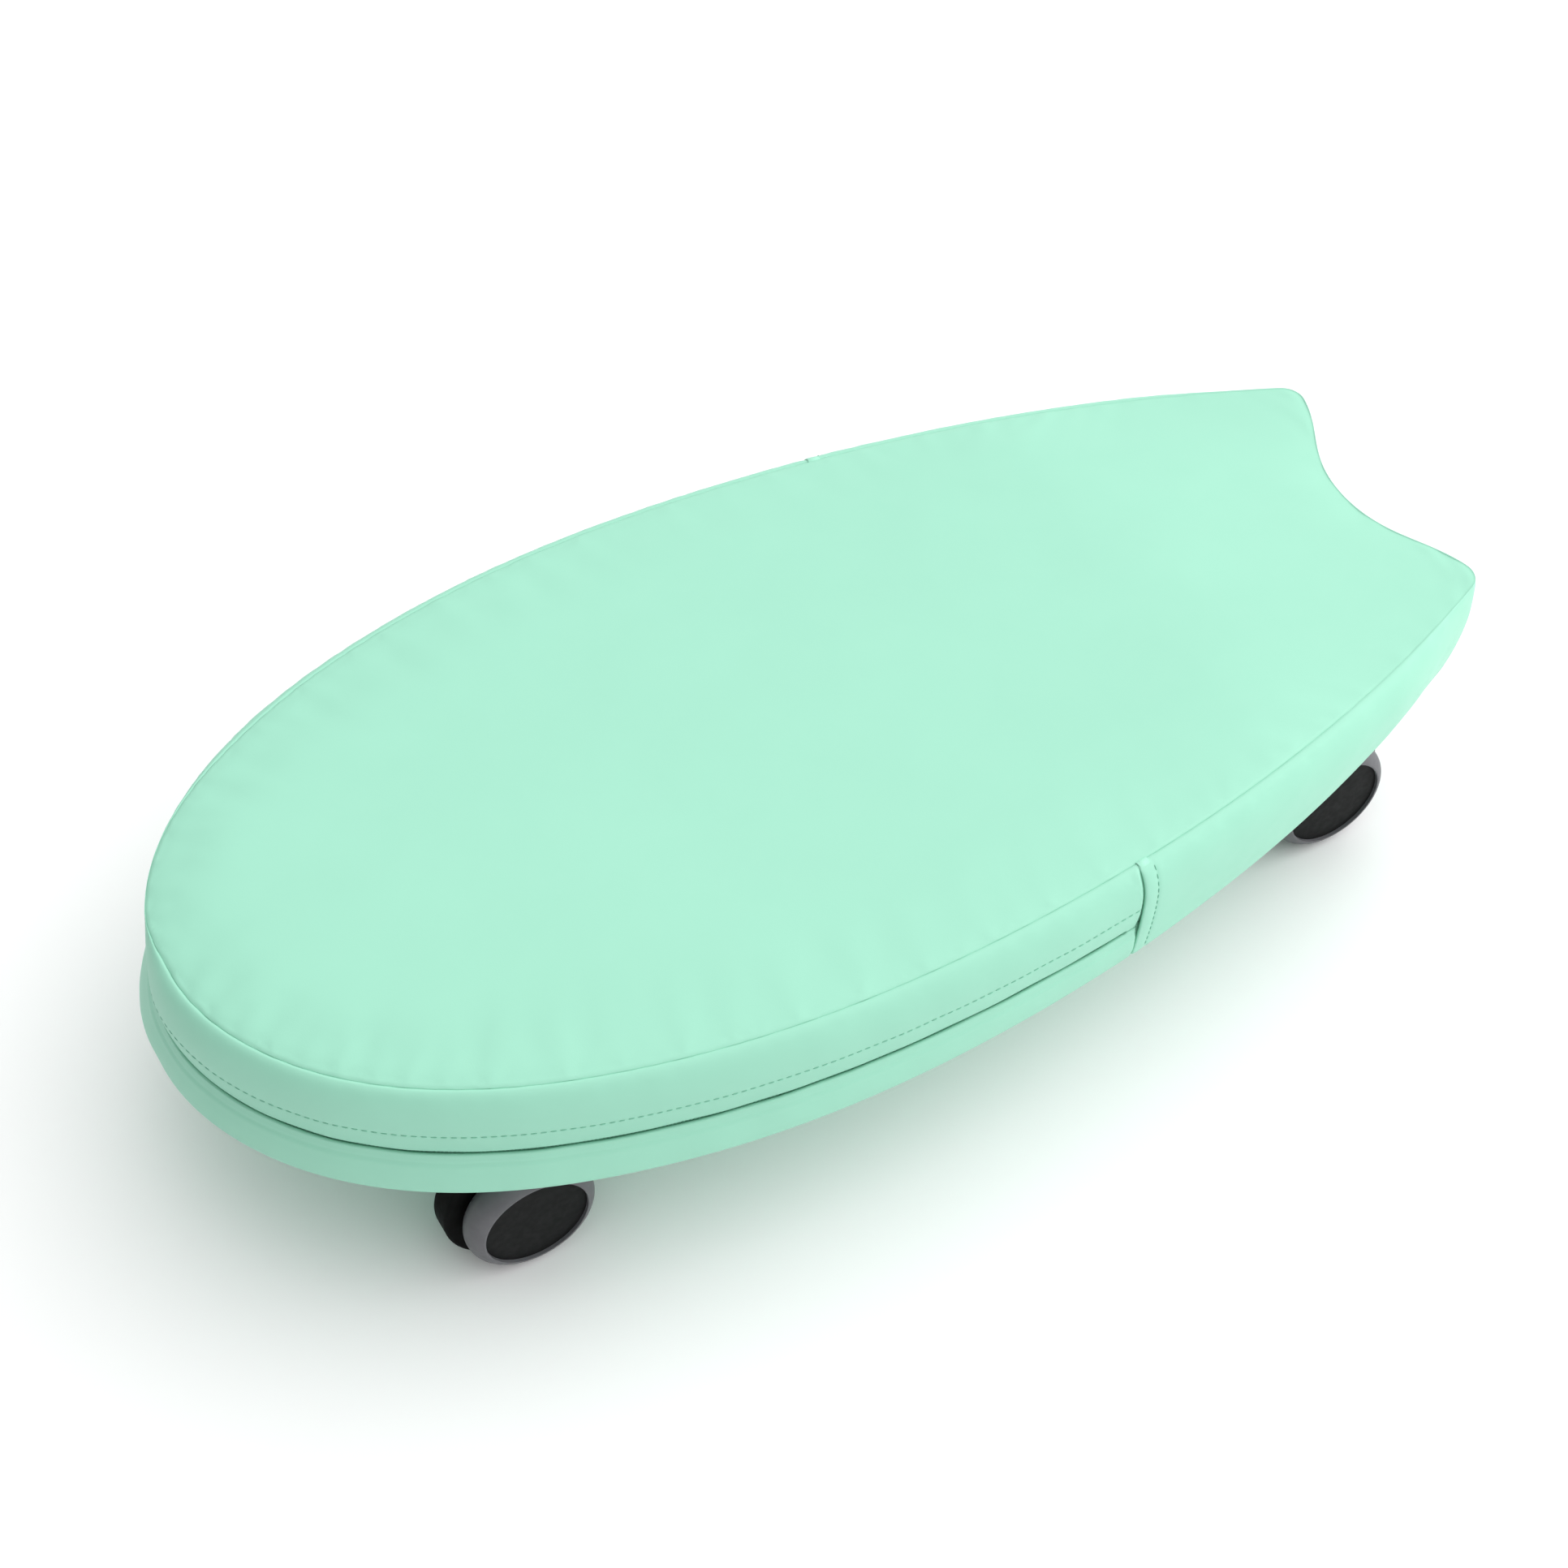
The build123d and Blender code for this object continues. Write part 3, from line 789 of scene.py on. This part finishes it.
def make_zip():
    """The tape behind the zip gap, with its coil wound along the middle."""
    run = np.linspace(-hem_run - 8, hem_run + 8, 420)[None, :]
    rows = []
    for across in np.linspace(-tape_half_width, tape_half_width, 13):
        ridge = 0.25 * np.exp(-((abs(across) - 2.6) / 0.8) ** 2)
        rows.append(on_side(run, gap_middle + across,
                            upper_swell(run, tape_drop) - tape_depth + ridge))
    tape = add_grid("zip_tape_sewn_in", rows, tape_finish, tape_thickness)
    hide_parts("zip_tape")
    turns = int(2 * hem_run / coil_pitch)
    angle = np.linspace(0, 2 * math.pi * turns, turns * 7)
    along = np.linspace(-hem_run - 2, hem_run + 2, len(angle))
    path = on_side(along, gap_middle + coil_half_height * np.cos(angle),
                   upper_swell(along, tape_drop) - coil_depth + coil_half_depth * np.sin(angle))
    ahead = np.gradient(path, axis=0)
    ahead /= np.linalg.norm(ahead, axis=1)[:, None]
    side = np.cross(ahead, [0.0, 0.0, 1.0])
    side /= np.linalg.norm(side, axis=1)[:, None]
    other = np.cross(ahead, side)
    turn = np.linspace(0, 2 * math.pi, 5)
    tube = [(path + coil_wire_radius * (math.cos(t) * side + math.sin(t) * other))[None]
            for t in turn[:-1]]
    tube.append(tube[0])
    add_grid("zip_coil", tube[::-1], tape_finish, 0)


def make_foam():
    """The foam block under the cover, with its top and sides crowned a little inside the cloth."""
    run = np.linspace(0, rim_length, 520, endpoint=False)
    spot, out = place(run)
    edge = spot - out * 3.0
    inner = []
    for inset in (5.0, 9.0, 15.0):
        ring = spot - out * inset
        inner.append(ring[distance_in(ring) > 0.97 * inset])
    points, faces = fill([edge], np.vstack(inner + [spread_inside(16, 22)]))
    depth = distance_in(points)
    top = np.column_stack([points, seam_z + crown(depth, points) - foam_top_ease])
    count = len(run)
    full_depth = seam_z - deck_top
    rows = []
    for drop in (2.5, 5, 9, 15, 22, 29, 35, 42, 49, full_depth):
        fade = 1 - ease((drop - 26) / 14)
        out = (upper_swell(run, drop) - foam_ease) * fade - 1.5 * (1 - fade)
        band = band_reach(run, np.full(len(run), float(drop)))
        rows.append(on_side(run, drop, np.minimum(out, band - foam_ease)))
    order = [int(np.argmin(np.hypot(*(points - p).T))) for p in edge]
    sides = []
    previous = order
    start = len(points)
    for _ in rows:
        current = list(range(start, start + count))
        for k in range(count):
            after = (k + 1) % count
            sides.append((previous[k], current[k], current[after], previous[after]))
        previous = current
        start += count
    base = tuple(reversed(previous))
    block = add_object("foam_block", np.vstack([top] + rows), list(faces) + sides + [base],
                       foam_finish)
    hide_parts("foam_pad")


def stitch_shape():
    """One short thread, lying along its first axis, as rings of points with closed ends."""
    rings, sides = 7, 6
    points = []
    for end in np.linspace(-1, 1, rings):
        girth = math.sqrt(max(1 - abs(end) ** 3, 0.02))
        for k in range(sides):
            turn = math.pi / 3 * k
            points.append((end, girth * math.cos(turn), girth * math.sin(turn)))
    faces = []
    for start in range(0, sides * (rings - 1), sides):
        for k in range(sides):
            after = (k + 1) % sides
            faces.append((start + k, start + after, start + sides + after, start + sides + k))
    faces += [tuple(reversed(range(sides))), tuple(range(sides * (rings - 1), sides * rings))]
    return np.array(points), faces


def make_stitches(name, centres, ahead, out):
    """A row of stitches at the centres, each along ahead, half sunk in the cloth."""
    shape, faces = stitch_shape()
    points, everything = [], []
    for c, a, o in zip(centres, ahead, out):
        a = a / np.linalg.norm(a)
        side = np.cross(a, o)
        side /= np.linalg.norm(side)
        up = np.cross(side, a)
        start = len(points) * len(shape)
        points.append(c + shape[:, :1] * a * stitch_half_length
                      + shape[:, 1:2] * side * stitch_radius + shape[:, 2:] * up * stitch_radius)
        everything += [tuple(start + k for k in face) for face in faces]
    add_object(name, np.vstack(points), everything, thread_finish)


def lap_stitches():
    """The row of stitches along the upper strip, in its dent."""
    ends = hem_run - 4
    run = np.linspace(-ends, ends, int(2 * ends / stitch_pitch))
    out = upper_swell(run, lap_drop) + ripple(run, lap_drop, *upper_ripple)
    out = out - lap_dent + stitch_rise
    centres = on_side(run, lap_drop, out)
    ahead = on_side(run + 1, lap_drop, out) - on_side(run - 1, lap_drop, out)
    normal = np.column_stack([place(run)[1], np.zeros(len(run))])
    make_stitches("lap_stitches", centres, ahead, normal)


def hem_stitches(side, name):
    """The row of stitches down one hem of the tail band, on the side that side gives as 1 or -1."""
    run = side * (hem_run + hem_stitch)
    drop = np.arange(3.5, pad_height - 4, stitch_pitch)
    over = hem_lift * float(ease(1 - hem_stitch / 60)) - 0.35

    def at(level):
        runs = np.full(len(level), run)
        reach = band_reach(runs, level) + over * ease(level / 4)
        reach = reach + ripple(run, level, *band_ripple) * ease(level / 6)
        return on_side(runs, level, reach + stitch_rise)

    ahead = at(drop + 0.5) - at(drop - 0.5)
    along = on_side(run + 1, drop, 0) - on_side(run - 1, drop, 0)
    make_stitches(name, at(drop), ahead, np.cross(ahead, along))


make_top_panel()
make_upper_strip()
make_lower_strip()
make_tail_band()
make_bottom_panel()
make_zip()
make_foam()
lap_stitches()
hem_stitches(1, "hem_stitches_near")
hem_stitches(-1, "hem_stitches_far")


# ---------------- floor, light and camera ----------------

def make_floor():
    mesh = bpy.data.meshes.new("floor")
    half = 8.0
    corners = [(-half, -half, 0), (half, -half, 0), (half, half, 0), (-half, half, 0)]
    mesh.from_pydata(corners, [], [(0, 1, 2, 3)])
    finish = Finish("studio_floor", 0.85, specular=0.1)
    finish.colour(finish.noise(3, 2), (0.93, 0.93, 0.93), (0.95, 0.95, 0.95))
    mesh.materials.append(finish.material)
    floor = bpy.data.objects.new("floor", mesh)
    bpy.context.scene.collection.objects.link(floor)


def make_light(name, towards, distance, size, power):
    """A round soft light that stands off in one direction and shines back at the origin."""
    light = bpy.data.lights.new(name, "AREA")
    light.shape = "DISK"
    light.size = size
    light.energy = power
    lamp = bpy.data.objects.new(name, light)
    bpy.context.scene.collection.objects.link(lamp)
    direction = Vector(towards).normalized()
    lamp.location = direction * distance
    lamp.rotation_euler = direction.to_track_quat("Z", "Y").to_euler()


def make_world():
    """A soft white surround, brighter above and towards the tail."""
    world = bpy.data.worlds.new("studio")
    world.use_nodes = True
    tree = world.node_tree
    sky = tree.nodes["Background"]
    sky.inputs["Color"].default_value = (1, 1, 1, 1)
    facing = tree.nodes.new("ShaderNodeVectorMath")
    facing.operation = "DOT_PRODUCT"
    facing.inputs[1].default_value = Vector(bright_side).normalized()
    tree.links.new(tree.nodes.new("ShaderNodeTexCoord").outputs["Generated"], facing.inputs[0])
    share = tree.nodes.new("ShaderNodeMapRange")
    share.inputs["From Min"].default_value = -1
    share.inputs["To Max"].default_value = math.sqrt(sky_peak)
    level = tree.nodes.new("ShaderNodeMath")
    level.operation = "POWER"
    level.inputs[1].default_value = 2
    tree.links.new(facing.outputs["Value"], share.inputs["Value"])
    tree.links.new(share.outputs["Result"], level.inputs[0])
    tree.links.new(level.outputs["Value"], sky.inputs["Strength"])
    bpy.context.scene.world = world


def make_camera():
    """The camera at the photograph's viewing angle."""
    azimuth, elevation, roll = (math.radians(a) for a in view_angles)
    back = Vector((math.sin(azimuth) * math.cos(elevation),
                   -math.cos(azimuth) * math.cos(elevation), math.sin(elevation)))
    right = Vector((math.cos(azimuth), math.sin(azimuth), 0))
    up = back.cross(right)
    turned_right = right * math.cos(roll) - up * math.sin(roll)
    turned_up = up * math.cos(roll) + right * math.sin(roll)
    data = bpy.data.cameras.new("camera")
    data.lens = view_lens
    data.sensor_width = 36
    data.shift_x, data.shift_y = view_shift
    camera = bpy.data.objects.new("camera", data)
    bpy.context.scene.collection.objects.link(camera)
    aim = Vector((nose_x * MM + view_aim[0], view_aim[1], seam_z * MM))
    frame_axes = Matrix((turned_right, turned_up, back)).transposed()
    camera.matrix_world = Matrix.Translation(aim + back * view_distance) @ frame_axes.to_4x4()
    bpy.context.scene.camera = camera


make_floor()
make_world()
make_light("tail_softbox", (0.73, -0.10, 0.25), 3.0, 2.0, 12)
make_camera()
bpy.context.scene.view_settings.view_transform = "Standard"
